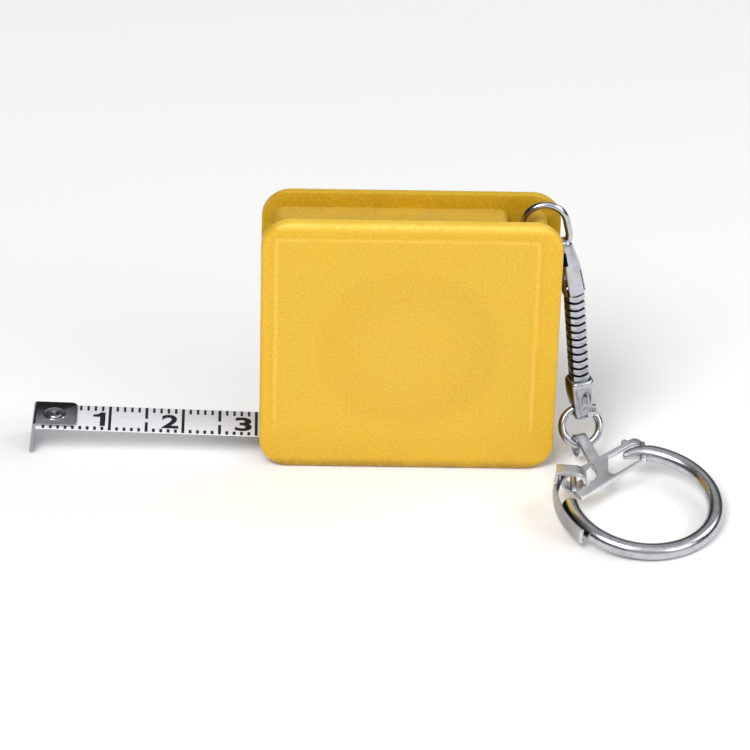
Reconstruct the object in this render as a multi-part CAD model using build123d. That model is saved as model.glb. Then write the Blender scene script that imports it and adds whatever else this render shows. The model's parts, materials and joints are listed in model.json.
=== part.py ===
from build123d import *
from math import atan2, cos, degrees, pi, radians, sin, sqrt
import os

# Keychain tape measure, 1 m long. Millimetres, +Z up, standing on its case.
# Origin at the middle of the case's foot; -Y is the front, the tape leaves
# toward -X and the chain hangs at +X.

# ---- case ----
case_width = 40.0
case_height = 38.4
case_depth = 10.0
plate_thickness = 1.6
plate_corner_radius = 4.0
plate_edge_round = 0.7
waist_inset_top = 2.1
waist_inset_left = 1.8
waist_inset_right = 3.0
waist_inset_bottom = 1.9
waist_wall = 1.1
waist_corner_radius = 1.2
notch_width = 7.1            # open top right corner, from the case's side
notch_floor_drop = 9.0       # floor of the open corner, from the case's top
boss_radius = 1.4
boss_sink = 0.7              # boss's centre from the wall, over its radius
peg_radius = 0.7
peg_length = 1.5
peg_clearance = 0.05
peg_hole_extra = 0.3
seat_gap = 0.3               # what separate moving faces keep between them

# ---- tape ----
tape_width = 6.0
tape_thickness = 0.15
tape_length = 1000.0
layer_pitch = 0.24           # one turn of tape with the air it is wound with
tape_mouth_height = 3.67     # tape above the foot at the case's left side
tape_rise = 1.85             # degrees, the pulled tape climbs to its hook
tape_yaw = 0.4               # degrees, and comes slightly forward
tape_out = 30.45             # zero of the scale from the case's left side
tape_stub = 5.5              # tape kept inside the case's left side
mouth_height = 2.3
mouth_drop = 0.4             # mouth's floor below the tape
mouth_side_clearance = 0.3

# ---- end hook and its rivet ----
hook_thickness = 0.45
hook_width = 5.5
hook_reach = 5.95            # top leaf, from the blade's outer face
hook_drop = 5.0              # blade, from the leaf's top
hook_lean = 5.0              # degrees, blade leans outward
rivet_setback = 2.45         # rivet from the blade's inner face
rivet_shank_radius = 0.6
rivet_head_radius = 1.15
rivet_head_height = 0.22
shank_clearance = 0.03
leaf_corner = 0.8
blade_corner = 0.7
dimple_radius = 0.5
dimple_lift = 0.35           # dimple's centre above the head

# ---- spool ----
drum_radius = 9.0
drum_wall = 0.8
drum_web = 0.6
arbor_radius = 2.0
arbor_clearance = 0.05
spring_width = 4.6
spring_thickness = 0.3
spring_turns = 4

# ---- corner post and wire loop ----
post_inset_x = 3.05
post_inset_z = 3.3
post_radius = 1.15
loop_wire_radius = 0.5
loop_bend_radius = 2.85      # centreline
loop_straight = 1.75
loop_post_gap = 0.25         # between the loop's inner limb and the post
loop_rise = 0.86             # top bend's centre along the loop from the post's axis
loop_lean = 13.2             # degrees, foot of the loop leans outward
loop_eye_angle = 35.0        # degrees below level where the chain hangs

# ---- snake chain ----
link_count = 12
link_side = 2.35
link_gap = 0.08
link_ball_ratio = 0.81       # socket radius over link side
chain_yaw = 18.0             # degrees, links turned about the chain's line
cap_wall = 0.3
cap_fit = 0.06
top_cap_length = 7.15        # eye's centre to mouth
top_cap_lean = 12.5          # degrees off the vertical
top_cap_crown = 1.0          # metal above the eye's centre
# height share, width, depth and corner radius over the cap's side
top_cap_sections = ((0, 1, 1, 0.16), (0.4, 1, 1, 0.24), (0.75, 0.76, 0.8, 0.3), (1, 0.42, 0.5, 0.2))
top_cap_round = 0.12
bottom_cap_length = 4.9
bottom_cap_lip = 1.25        # metal below the eye's centre
bottom_cap_corner = 0.28
bottom_cap_widths = (0.76, 0.86, 1.06, 1.12)     # lip, eye, shoulder, mouth
bottom_cap_eye_height = 0.5
bottom_cap_shoulder = 2.2
bore_depth = 2.6
groove_length = 3.2
groove_width = 1.1
groove_depth = 0.25
groove_height = 1.7

# ---- jump ring ----
jump_wire_radius = 0.55
jump_bend_radius = 2.55
jump_lean = 32.8             # degrees, top leans back
jump_clearance = 0.4         # in the lower cap's eye
jump_tail = 2.1
jump_open_angle = 31.0

# ---- key ring, in its own plane ----
ring_radius = 9.9
ring_wire_radius = 1.13
ring_offset_x = 11.5         # centre from the case's right side
ring_offset_y = -15.8
ring_tilt_back = 7.7         # degrees, far side lifted
ring_tilt_side = 3.56        # degrees, left side lifted
ring_free_end = 188.0        # degrees round the ring
ring_hinge_x = 0.55
ring_pin_radius = 0.45
ring_pin_clearance = 0.05
# angle, centreline radius as a share, wire radius as a share
ring_tip = ((80, 1.0, 1.0), (86, 1.0, 0.93), (92, 0.985, 0.75), (98, 0.96, 0.55), (104, 0.92, 0.42))
ring_nose_round = 0.3

# ---- latch plate, in the key ring's plane ----
latch_thickness = 0.7
latch_slope = 0.88           # long edges, rise over run
latch_mid_x = -5.15          # middle bar
latch_mid_low = 2.15         # near edge at the middle bar
latch_mid_high = 8.45        # far edge there
latch_bar_upper = 1.1
latch_bar_lower = 1.4
latch_cross_bar = 1.4
latch_pin_low = 7.9          # right pin's ends
latch_pin_high = 12.1
latch_window_low = 8.5       # right window beside that pin
latch_nose_x = -8.2          # near corner at the left
latch_shoulder = 1.2         # right end's step inward, over the upper bar
latch_window_corner = 0.4
latch_end_bar = 0.6          # metal past the right window, over the upper bar
clasp_pin_low = 0.7
clasp_pin_high = 4.85
clasp_window_low = 1.35
clasp_hinge_x = -9.2

# ---- strap ----
strap_thickness = 0.35
strap_width = 1.6
strap_curl_radius = 1.22     # inside
strap_curl_x = -7.65
strap_curl_y = 12.75
strap_tail_y = 5.6
strap_lap_start = 0.55       # lower leaf's start, over the curl's outer radius
strap_lap_short = 2.6        # how much shorter it is than the upper leaf

# ---- clasp ----
clasp_sheet = 0.45
clasp_curl_radius = 1.3      # inside
clasp_curl_lift = 0.5        # curl's centre above the pin
clasp_head_low = 2.0
clasp_head_high = 3.85
clasp_gap = 0.62             # wall from the ring's wire
clasp_flange = 0.3
clasp_low = -0.9
clasp_high = 0.7
clasp_head_angle = 159.0
clasp_step_angle = 172.0
clasp_tip_angle = 226.0

# ---- what follows from the sizes ----
right_side = case_width / 2
left_side = -case_width / 2
inner_half = case_depth / 2 - plate_thickness
post = Vector(right_side - post_inset_x, 0, case_height - post_inset_z)
spool_height = case_height / 2
coil_radius = sqrt(drum_radius**2 + (tape_length - tape_out - case_width / 2) * layer_pitch / pi)
FRONTAL = Rot(90, 0, 0)      # sketch plane XY stood up as XZ, its +Z toward the front


def leaning(angle):
    """Unit vector pointing down, leaning outward by an angle in degrees."""
    return Vector(sin(radians(angle)), 0, -cos(radians(angle)))


# tape: s runs out along it, t toward the front, n up
_b, _g = radians(tape_rise), radians(tape_yaw)
tape_dir = Vector(-cos(_b) * cos(_g), -sin(_g), sin(_b) * cos(_g))
tape_front = Vector(sin(_g), -cos(_g), 0)
tape_plane = Plane(
    origin=(left_side, 0, tape_mouth_height), x_dir=tape_dir, z_dir=tape_dir.cross(tape_front)
)

# key ring plane
ring_normal = Vector(
    sin(radians(ring_tilt_side)), -sin(radians(ring_tilt_back)) * cos(radians(ring_tilt_side)),
    cos(radians(ring_tilt_side)) * cos(radians(ring_tilt_back)),
)
ring_height = ring_wire_radius + ring_radius * sqrt(1 - ring_normal.Z**2)
ring_plane = Plane(
    origin=(right_side + ring_offset_x, ring_offset_y, ring_height),
    x_dir=Vector(0, 1, 0).cross(ring_normal), z_dir=ring_normal,
)

# jump ring: its lowest wire lies in the strap's curl
strap_curl_drop = latch_thickness / 2 + strap_thickness + strap_curl_radius
jump_low = ring_plane.from_local_coords(Vector(strap_curl_x, strap_curl_y, -strap_curl_drop))
jump_up = Vector(0, sin(radians(jump_lean)), cos(radians(jump_lean)))
jump_plane = Plane(
    origin=jump_low + jump_up * jump_bend_radius, x_dir=(1, 0, 0), z_dir=Vector(1, 0, 0).cross(jump_up)
)
jump_top = jump_low + jump_up * (2 * jump_bend_radius)

# wire loop and the eye that hangs in it
loop_side = loop_bend_radius - loop_wire_radius - post_radius - loop_post_gap
loop_across = Vector(cos(radians(loop_lean)), 0, sin(radians(loop_lean)))
loop_top = post + loop_across * loop_side - leaning(loop_lean) * loop_rise
loop_foot = loop_top + leaning(loop_lean) * loop_straight
eye = loop_foot + leaning(90 - loop_eye_angle) * loop_bend_radius
eye_tangent = Vector(sin(radians(loop_eye_angle)), 0, cos(radians(loop_eye_angle)))

# chain line
cap_down = leaning(top_cap_lean)
chain_start = eye + cap_down * top_cap_length
chain_down = (jump_top - chain_start).normalized()
chain_end = jump_top - chain_down * bottom_cap_length
link_pitch = (chain_end - chain_start).length / link_count
link_ball = link_side * link_ball_ratio


def hanging_frame(origin, down):
    """Frame on the chain: z up along it, x to the right turned by the chain's yaw."""
    y = radians(chain_yaw)
    return Plane(origin=origin, x_dir=Vector(cos(y), sin(y), 0) - down * (down.X * cos(y) + down.Y * sin(y)),
                 z_dir=-down)


# ================================ case ================================
def waist_outline():
    """Recessed waist between the plates, with its open top right corner."""
    left = left_side + waist_inset_left
    right = right_side - waist_inset_right
    low, high = waist_inset_bottom, case_height - waist_inset_top
    step_x, step_z = right_side - notch_width, case_height - notch_floor_drop
    points = [(left, low), (right, low), (right, step_z), (step_x, step_z), (step_x, high), (left, high)]
    face = make_face(Polyline(*points, close=True))
    return fillet(face.vertices(), waist_corner_radius)


def boss_places():
    """Pegs that join the two halves, clear of the coil and the tape's way."""
    into_wall = waist_wall + boss_sink * boss_radius
    left = left_side + waist_inset_left + into_wall
    right = right_side - waist_inset_right - into_wall
    high = case_height - waist_inset_top - into_wall
    above_mouth = tape_mouth_height + mouth_height + 2 * boss_radius
    return [(left, high), (right, above_mouth), (left, above_mouth)]


def mouth_cut():
    """Slot in the left wall that the tape runs through."""
    half = tape_width / 2 + mouth_side_clearance
    low = tape_mouth_height - mouth_drop
    return Pos(left_side, 0, low + mouth_height / 2) * Box(
        2 * (waist_inset_left + 2 * waist_wall), 2 * half, mouth_height)


def half_case(front):
    """One half: plate, half of the waist wall, bosses."""
    plate_face = Pos(0, case_height / 2) * RectangleRounded(case_width, case_height, plate_corner_radius)
    slab = extrude(plate_face, plate_thickness)
    slab = fillet(slab.faces().sort_by(Axis.Z)[-1].edges(), plate_edge_round)
    slab = Pos(0, 0, inner_half) * slab
    outer = waist_outline()
    wall = extrude(outer - offset(outer, -waist_wall), inner_half)
    half = slab + wall
    for x, z in boss_places():
        half += Pos(x, z, inner_half / 2) * Cylinder(boss_radius, inner_half)
        if front:
            half += Pos(x, z, 0) * Cylinder(peg_radius, 2 * peg_length)
        else:
            depth = peg_length + peg_hole_extra
            half -= Pos(x, z, depth / 2) * Cylinder(peg_radius + peg_clearance, depth)
    if front:
        half = FRONTAL * half
    else:
        half = mirror(FRONTAL * half, Plane.XZ)
        span = 2 * inner_half
        half += Pos(post.X, 0, post.Z) * FRONTAL * Cylinder(post_radius, span)
    return half - mouth_cut()


# ================================ spool ================================
def arbor():
    """Fixed post between the plates that the drum turns on."""
    post_shape = Cylinder(arbor_radius, 2 * inner_half)
    slot = Box(2 * arbor_radius, 1.5 * spring_thickness, spring_width)
    return Pos(0, 0, spool_height) * FRONTAL * (post_shape - Pos(arbor_radius, 0, 0) * slot)


def spool_drum():
    """Cup with a hub: the tape winds outside, the spring lies inside."""
    wall = Cylinder(drum_radius, tape_width) - Cylinder(drum_radius - drum_wall, tape_width)
    web = Pos(0, 0, -tape_width / 2 + drum_web / 2) * Cylinder(drum_radius, drum_web)
    hub_radius = arbor_radius + arbor_clearance
    drum = wall + web - Cylinder(hub_radius, tape_width)
    return Pos(0, 0, spool_height) * FRONTAL * drum


def mainspring():
    """Flat spiral from beside the arbor out to the drum's wall."""
    start = arbor_radius + seat_gap + spring_thickness / 2
    end = drum_radius - drum_wall - spring_thickness / 2
    steps = spring_turns * 12

    def spiral(shift):
        """Points along one face of the strip."""
        return [
            ((start + (end - start) * i / steps + shift) * cos(2 * pi * spring_turns * i / steps),
             (start + (end - start) * i / steps + shift) * sin(2 * pi * spring_turns * i / steps))
            for i in range(steps + 1)
        ]

    inner, outer = spiral(-spring_thickness / 2), spiral(spring_thickness / 2)
    edge = [Spline(*inner), Line(inner[-1], outer[-1]), Spline(*outer), Line(inner[0], outer[0])]
    strip = extrude(make_face(edge), spring_width)
    rise = -tape_width / 2 + drum_web + seat_gap / 2
    return Pos(0, 0, spool_height) * FRONTAL * Pos(0, 0, rise) * strip


def tape_coil():
    """The tape still wound on the drum."""
    ring = Cylinder(coil_radius, tape_width) - Cylinder(drum_radius, tape_width)
    return Pos(0, 0, spool_height) * FRONTAL * ring


def tape_run():
    """Tape between the coil and the mouth, touching neither."""
    x0 = left_side + waist_inset_left + waist_wall + seat_gap
    z0 = tape_mouth_height + mouth_height + tape_thickness
    dx, dz = -x0, spool_height - z0
    reach = sqrt(dx * dx + dz * dz)
    clear = coil_radius + seat_gap
    angle = atan2(dz, dx) - atan2(clear, sqrt(reach**2 - clear**2))
    length = sqrt(reach**2 - clear**2)
    mid = (x0 + cos(angle) * length / 2, z0 + sin(angle) * length / 2)
    return Pos(mid[0], 0, mid[1]) * Rot(0, -degrees(angle), 0) * Box(length, tape_width, tape_thickness)


# ================================ tape and hook ================================
def tape_blade():
    """Straight tape from inside the mouth to the hook."""
    length = tape_stub + tape_out
    strip = Pos((tape_out - tape_stub) / 2, 0, -tape_thickness / 2) * Box(length, tape_width, tape_thickness)
    hole = Cylinder(rivet_shank_radius + shank_clearance, 4 * tape_thickness)
    return tape_plane * (strip - Pos(tape_out - rivet_setback, 0, 0) * hole)


def end_hook():
    """Bent steel hook: a leaf on the tape and a blade going down."""
    edge_shift = -(tape_width - hook_width) / 2
    outer = tape_out + hook_thickness
    leaf = Box(hook_reach, hook_width, hook_thickness)
    leaf = fillet(leaf.edges().filter_by(Axis.Z).sort_by(Axis.X)[:2], leaf_corner)
    leaf = Pos(outer - hook_reach / 2, edge_shift, hook_thickness / 2) * leaf
    blade = Pos(0, 0, -hook_drop / 2) * Box(hook_thickness, hook_width, hook_drop)
    blade = fillet(blade.edges().filter_by(Axis.X).sort_by(Axis.Z)[:2], blade_corner)
    blade = Pos(-hook_thickness / 2, 0, 0) * blade
    blade = Pos(outer, edge_shift, hook_thickness) * Rot(0, -hook_lean, 0) * blade
    hook = leaf + blade
    hole = Cylinder(rivet_shank_radius + shank_clearance, 4 * hook_thickness)
    return tape_plane * (hook - Pos(tape_out - rivet_setback, 0, 0) * hole)


def hook_rivet():
    """Rivet through hook and tape, dimpled on top."""
    grip = hook_thickness + tape_thickness
    shank = Pos(0, 0, hook_thickness - grip / 2) * Cylinder(rivet_shank_radius, grip)
    head = Pos(0, 0, hook_thickness + rivet_head_height / 2) * Cylinder(rivet_head_radius, rivet_head_height)
    head = chamfer(head.edges().sort_by(Axis.Z)[-1], rivet_head_height * 0.6)
    tail = Pos(0, 0, -tape_thickness - rivet_head_height / 2) * Cylinder(rivet_head_radius, rivet_head_height)
    dimple = Pos(0, 0, hook_thickness + rivet_head_height + dimple_lift) * Sphere(dimple_radius)
    return tape_plane * Pos(tape_out - rivet_setback, 0, 0) * (shank + head + tail - dimple)


# ================================ chain ================================
def wire_loop():
    """Closed oval of wire round the corner post."""
    wire = Torus(loop_bend_radius, loop_wire_radius)
    half = Pos(0, loop_bend_radius) * Box(4 * loop_bend_radius, 2 * loop_bend_radius, 4 * loop_wire_radius)
    limb = Pos(0, -loop_straight / 2) * Rot(90, 0, 0) * Cylinder(loop_wire_radius, loop_straight)
    oval = (wire & half) + Pos(0, -loop_straight) * (wire - half)
    oval += Pos(loop_bend_radius, 0) * limb + Pos(-loop_bend_radius, 0) * limb
    return Pos(loop_top.X, 0, loop_top.Z) * FRONTAL * Rot(0, 0, loop_lean) * oval


def link_center(number):
    """Socket centre of a link, counted from one at the top."""
    return chain_start + chain_down * (link_pitch * (number - 1) - link_side * 0.1)


def snake_link(number):
    """Square link: ball-shaped below, socketed above."""
    top = link_pitch - sqrt((link_ball + link_gap) ** 2 - link_side**2 / 2)
    column = Pos(0, 0, (top - 1.2 * link_ball) / 2) * Box(link_side, link_side, top + 1.2 * link_ball)
    ball = Sphere(link_ball) + Pos(0, 0, link_ball / 2) * Box(2 * link_side, 2 * link_side, link_ball)
    link = (column & ball) - Pos(0, 0, link_pitch) * Sphere(link_ball + link_gap)
    return hanging_frame(link_center(number), chain_down) * link


def chain_bore(depth):
    """Square space in a cap for the end link, mouth at z = 0 and going up."""
    side = link_side + 2 * cap_fit
    return Pos(0, 0, depth / 2) * Box(side, side, depth)


def top_end_cap():
    """Bullet-shaped cap with an eye for the wire loop."""
    side = link_side + 2 * cap_fit + 2 * cap_wall
    full = top_cap_length + top_cap_crown
    body = loft([Pos(0, 0, full * z) * RectangleRounded(side * w, side * d, side * r)
                 for z, w, d, r in top_cap_sections])
    body = fillet(body.faces().sort_by(Axis.Z)[-1].edges(), side * top_cap_round)
    cap = hanging_frame(chain_start, cap_down) * body
    reach = loop_wire_radius + seat_gap
    hole_plane = Plane(origin=eye, x_dir=(0, 1, 0), z_dir=eye_tangent)
    hole = extrude(hole_plane * Circle(reach), 4 * side, both=True)
    bore = hanging_frame(chain_start, chain_down) * Pos(0, 0, -bore_depth / 2) * chain_bore(
        link_side + bore_depth / 2)
    return cap - hole - bore


def bottom_end_cap():
    """Cap that narrows to the jump ring's eye, with a pressed groove in front."""
    side = link_side + 2 * cap_fit + 2 * cap_wall
    frame = hanging_frame(jump_top, chain_down)
    heights = (-bottom_cap_lip, bottom_cap_eye_height, bottom_cap_shoulder, bottom_cap_length)
    body = loft([Pos(0, 0, z) * RectangleRounded(side * k, side * k, side * k * bottom_cap_corner)
                 for z, k in zip(heights, bottom_cap_widths)])
    slot = extrude(SlotOverall(groove_length, groove_width, rotation=90), groove_depth, both=True)
    groove = Pos(0, -side / 2, groove_height) * Rot(90, 0, 0) * slot
    bore = Pos(0, 0, bottom_cap_length - bore_depth) * chain_bore(2 * bore_depth)
    eye_cut = jump_plane * Torus(jump_bend_radius, jump_wire_radius + jump_clearance)
    return frame * (body - groove - bore) - eye_cut


def jump_ring():
    """Wire ring sprung open beside the lower cap, its end run out straight."""
    torus = Torus(jump_bend_radius, jump_wire_radius)
    reach = 3 * jump_bend_radius
    gap = make_face(Polyline(
        (0, 0), (reach * cos(radians(jump_open_angle)), reach * sin(radians(jump_open_angle))),
        (reach, reach), (0, reach), close=True))
    ring = torus - extrude(gap, reach, both=True)
    tail = Pos(jump_tail / 2, jump_bend_radius) * Rot(0, 90, 0) * Cylinder(jump_wire_radius, jump_tail)
    return jump_plane * (ring + tail)


# ================================ latch and key ring ================================
def upper_edge(x):
    """Far edge of the latch plate."""
    return latch_mid_high + latch_slope * (x - latch_mid_x)


def lower_edge(x):
    """Near edge of the latch plate."""
    return latch_mid_low + latch_slope * (x - latch_mid_x)


def latch_plate():
    """Stamped plate with two windows, drawn to a round pin at either end."""
    right, left = ring_hinge_x, clasp_hinge_x
    bar_left = latch_mid_x - latch_cross_bar / 2
    bar_right = latch_mid_x + latch_cross_bar / 2

    def low(x):
        """Lower edge of the windows."""
        return lower_edge(x) + latch_bar_lower

    def high(x):
        """Upper edge of the windows."""
        return upper_edge(x) - latch_bar_upper

    shoulder = right - latch_shoulder * latch_bar_upper
    outline = make_face(Polyline(
        (left, clasp_pin_low), (latch_nose_x, lower_edge(latch_nose_x)), (right, latch_pin_low),
        (right, latch_pin_high), (shoulder, upper_edge(shoulder)), (left, upper_edge(left)), close=True))
    corner = bar_left - latch_cross_bar / 2
    left_window = make_face([
        Line((left, clasp_window_low), (left, high(left))),
        Line((left, high(left)), (corner, high(corner))),
        ThreePointArc((corner, high(corner)), (bar_left, (high(bar_left) + low(bar_left)) / 2),
                      (corner, low(corner))),
        Line((corner, low(corner)), (left, clasp_window_low))])
    right_window = make_face(Polyline(
        (bar_right, low(bar_right)), (right, latch_window_low),
        (right, latch_pin_high - latch_bar_upper * latch_end_bar),
        (shoulder, high(shoulder)), (bar_right, high(bar_right)), close=True))
    right_window = fillet(right_window.vertices().sort_by(Axis.X)[:2], latch_window_corner)
    plate = extrude(outline - left_window - right_window, latch_thickness / 2, both=True)
    for x, start, end in ((right, latch_pin_low, latch_pin_high), (left, clasp_pin_low, clasp_pin_high)):
        plate += Pos(x, (start + end) / 2) * Rot(90, 0, 0) * Cylinder(ring_pin_radius, end - start)
    return ring_plane * plate


def connector_strap():
    """Strip curled round the jump ring and fixed under the plate's middle bar."""
    tail = Vector(latch_mid_x - strap_curl_x, strap_tail_y - strap_curl_y, 0)
    length = tail.length
    turn = degrees(atan2(tail.Y, tail.X))
    outer = strap_curl_radius + strap_thickness
    curl = Cylinder(outer, strap_width) - Cylinder(strap_curl_radius, strap_width)
    curl = Rot(90, 0, 0) * curl
    upper = Pos(length / 2, 0, outer - strap_thickness / 2) * Box(length, strap_width, strap_thickness)
    low_length = length - strap_lap_short
    lower = Pos(outer * strap_lap_start + low_length / 2, 0, outer - strap_thickness * 1.5) * Box(
        low_length, strap_width, strap_thickness)
    strip = curl + upper + (lower - Rot(90, 0, 0) * Cylinder(strap_curl_radius, 2 * strap_width))
    place = Pos(strap_curl_x, strap_curl_y, -strap_curl_drop) * Rot(0, 0, turn)
    return ring_plane * place * strip


def key_ring():
    """Thick round wire ring, tapered to a tip past the latch plate's pin."""
    start = ring_free_end - 360
    path = CenterArc((0, 0), ring_radius, start, ring_tip[0][0] - start)
    body = sweep(path.location_at(0) * Circle(ring_wire_radius), path)
    sections = []
    for angle, share, thin in ring_tip:
        a = radians(angle)
        sections.append(Plane(
            origin=(ring_radius * share * cos(a), ring_radius * share * sin(a), 0),
            x_dir=(0, 0, 1), z_dir=(-sin(a), cos(a), 0)) * Circle(ring_wire_radius * thin))
    tip = loft(sections)
    tip = fillet(tip.faces().sort_by(Axis.X)[0].edges(), ring_nose_round)
    hole = Pos(ring_hinge_x, ring_radius) * Rot(90, 0, 0) * Cylinder(
        ring_pin_radius + ring_pin_clearance, 4 * ring_wire_radius)
    return ring_plane * (body + tip - hole)


def sector(inner, outer, start, end, low, high):
    """Ring-shaped piece of sheet between two angles and two heights."""
    a, b = radians(start), radians(end)
    m = (a + b) / 2
    at = lambda r, t: (r * cos(t), r * sin(t))
    face = make_face([
        ThreePointArc(at(inner, a), at(inner, m), at(inner, b)), Line(at(inner, b), at(outer, b)),
        ThreePointArc(at(outer, b), at(outer, m), at(outer, a)), Line(at(outer, a), at(inner, a))])
    return Pos(0, 0, low) * extrude(face, high - low)


def ring_clasp():
    """Sheet lever: head curled round the plate's left pin, lip along the ring, pointed tongue."""
    curl = clasp_curl_radius + clasp_sheet
    head_width = clasp_head_high - clasp_head_low
    head_mid = (clasp_head_high + clasp_head_low) / 2
    head = Cylinder(curl, head_width) - Cylinder(clasp_curl_radius, head_width)
    head = Pos(clasp_hinge_x, head_mid, clasp_curl_lift) * Rot(90, 0, 0) * head
    inner = ring_radius + ring_wire_radius + clasp_gap
    outer = inner + clasp_sheet
    head_top = clasp_curl_lift + curl
    arm_end = -sqrt((inner + clasp_sheet / 2) ** 2 - clasp_head_low**2)
    arm = Pos((arm_end + clasp_hinge_x) / 2, head_mid, head_top - clasp_sheet / 2) * Box(
        clasp_hinge_x - arm_end, head_width, clasp_sheet)
    wall = sector(inner, outer, clasp_head_angle, clasp_step_angle, clasp_low, head_top)
    wall += sector(inner, outer, clasp_step_angle, clasp_tip_angle, clasp_low, clasp_high)
    lip = sector(inner - clasp_flange, outer, clasp_step_angle, clasp_tip_angle,
                 clasp_low - clasp_sheet, clasp_low)
    return ring_plane * (head + arm + wall + lip)


parts = {
    "front_shell": half_case(True),
    "rear_shell": half_case(False),
    "arbor": arbor(),
    "spool_drum": spool_drum(),
    "mainspring": mainspring(),
    "tape_coil": tape_coil(),
    "tape_run": tape_run(),
    "tape_blade": tape_blade(),
    "end_hook": end_hook(),
    "hook_rivet": hook_rivet(),
    "wire_loop": wire_loop(),
    "top_end_cap": top_end_cap(),
    "bottom_end_cap": bottom_end_cap(),
    "jump_ring": jump_ring(),
    "connector_strap": connector_strap(),
    "latch_plate": latch_plate(),
    "key_ring": key_ring(),
    "ring_clasp": ring_clasp(),
}
for number in range(1, link_count + 1):
    parts[f"snake_link_{number:02d}"] = snake_link(number)

os.makedirs("parts", exist_ok=True)
for name, shape in parts.items():
    shape.label = name
    export_step(shape, f"parts/{name}.step")
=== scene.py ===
import json
import math

import bpy
from bpy.props import FloatProperty, FloatVectorProperty, IntProperty, PointerProperty
from mathutils import Matrix, Vector


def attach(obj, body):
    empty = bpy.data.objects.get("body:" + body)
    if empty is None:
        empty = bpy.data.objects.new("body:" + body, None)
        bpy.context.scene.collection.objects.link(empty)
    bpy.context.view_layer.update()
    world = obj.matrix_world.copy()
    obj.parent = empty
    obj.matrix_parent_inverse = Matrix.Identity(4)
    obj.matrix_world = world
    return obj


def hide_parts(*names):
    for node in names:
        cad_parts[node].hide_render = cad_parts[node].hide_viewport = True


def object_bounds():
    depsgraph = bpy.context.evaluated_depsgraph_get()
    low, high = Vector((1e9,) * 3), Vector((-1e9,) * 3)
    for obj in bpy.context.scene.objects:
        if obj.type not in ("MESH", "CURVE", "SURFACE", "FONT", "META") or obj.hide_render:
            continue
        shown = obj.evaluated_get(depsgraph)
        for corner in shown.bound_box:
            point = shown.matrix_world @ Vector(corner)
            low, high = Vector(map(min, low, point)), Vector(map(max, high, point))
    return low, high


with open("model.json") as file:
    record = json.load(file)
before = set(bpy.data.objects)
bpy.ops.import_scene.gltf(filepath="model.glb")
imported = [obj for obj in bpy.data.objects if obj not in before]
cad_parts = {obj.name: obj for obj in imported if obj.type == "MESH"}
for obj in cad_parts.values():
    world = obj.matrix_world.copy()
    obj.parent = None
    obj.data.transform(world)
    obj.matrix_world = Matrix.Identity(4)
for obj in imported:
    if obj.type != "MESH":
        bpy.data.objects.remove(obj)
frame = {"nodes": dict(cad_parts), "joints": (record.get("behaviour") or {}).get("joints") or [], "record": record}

bl_info = {
    "name": "Keychain tape measure",
    "version": (1, 0, 0),
    "blender": (4, 5, 0),
    "location": "View3D > Sidebar > Tape measure",
    "description": "Dresses the keychain tape measure: case, tape, hook, snake chain, latch and key ring",
    "category": "Object",
}

CAD_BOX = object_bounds()
JOINTS = {joint["name"]: joint for joint in frame["joints"]}
MOUNTS = {mount["name"]: mount for mount in frame["record"]["mounts"]}
LINKS = sorted(name for name in frame["nodes"] if name.startswith("snake_link"))
MM = 0.001
NEAR = 1e-3        # millimetres within which two places count as one


# ---------------------------------------------------------------- places
def joint_at(name):
    """A joint's place, in metres."""
    return Vector(JOINTS[name]["pos_m"])


def joint_axis(name):
    """A joint's axis."""
    return Vector(JOINTS[name]["axis"]).normalized()


def basis(origin, x, y):
    """Matrix for a shape drawn in millimetres: an origin in metres, its x axis and roughly its y axis."""
    x = Vector(x).normalized()
    y = (Vector(y) - x * x.dot(Vector(y))).normalized()
    turned = Matrix((x, y, x.cross(y))).transposed().to_4x4()
    turned.translation = origin
    return turned @ Matrix.Scale(MM, 4)


def tape_place(tape):
    """Tape frame: x back toward the case from the scale's zero, y away from the viewer, z up."""
    rise, yaw = tape.rise, tape.yaw
    out = Vector((-math.cos(rise) * math.cos(yaw), -math.sin(yaw), math.sin(rise) * math.cos(yaw)))
    front = Vector((math.sin(yaw), -math.cos(yaw), 0))
    normal = out.cross(front)
    zero = Vector(MOUNTS["hook_face"]["pos_m"]) + normal * tape.mount_drop
    return basis(zero, -out, -front)


def chain_down():
    """Direction of the chain, downward."""
    return (joint_at("link_bend_02") - joint_at("link_bend_01")).normalized()


def hanging(origin, down):
    """Chain frame: z up along it, x across its lit face."""
    across = joint_axis("link_bend_02")
    across = (across - down * across.dot(down)).normalized()
    return basis(origin, across, (-down).cross(across))


def chain_start(chain):
    """Mouth of the upper cap."""
    return joint_at("link_bend_01") + chain_down() * chain.side * chain.start_share


def ring_place(ring):
    """Key ring frame: its own plane, y along the latch's pins."""
    y = joint_axis("ring_hinge")
    rim = Vector(MOUNTS["key_ring_hold"]["pos_m"])
    x = rim - joint_at("ring_hinge") + y * ring.radius
    x = (x - y * x.dot(y)).normalized()
    return basis(rim - x * ring.radius, x, y)


# ---------------------------------------------------------------- modelling
def fresh():
    """Object mode with nothing selected."""
    if bpy.context.object and bpy.context.object.mode != "OBJECT":
        bpy.ops.object.mode_set(mode="OBJECT")
    bpy.ops.object.select_all(action="DESELECT")


def take(piece):
    """Object mode with one piece selected and active."""
    fresh()
    bpy.context.view_layer.objects.active = piece
    piece.select_set(True)


def place_in_mesh():
    """Moves the place, turn and scale of what is selected into its mesh."""
    bpy.ops.object.transform_apply(location=True, rotation=True, scale=True)


def choose_all():
    """Edit mode with everything selected."""
    bpy.ops.object.mode_set(mode="EDIT")
    bpy.ops.mesh.select_all(action="SELECT")


def turn(p):
    """Degrees round the z axis, from 0 to 360."""
    return math.degrees(math.atan2(p.y, p.x)) % 360


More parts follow.
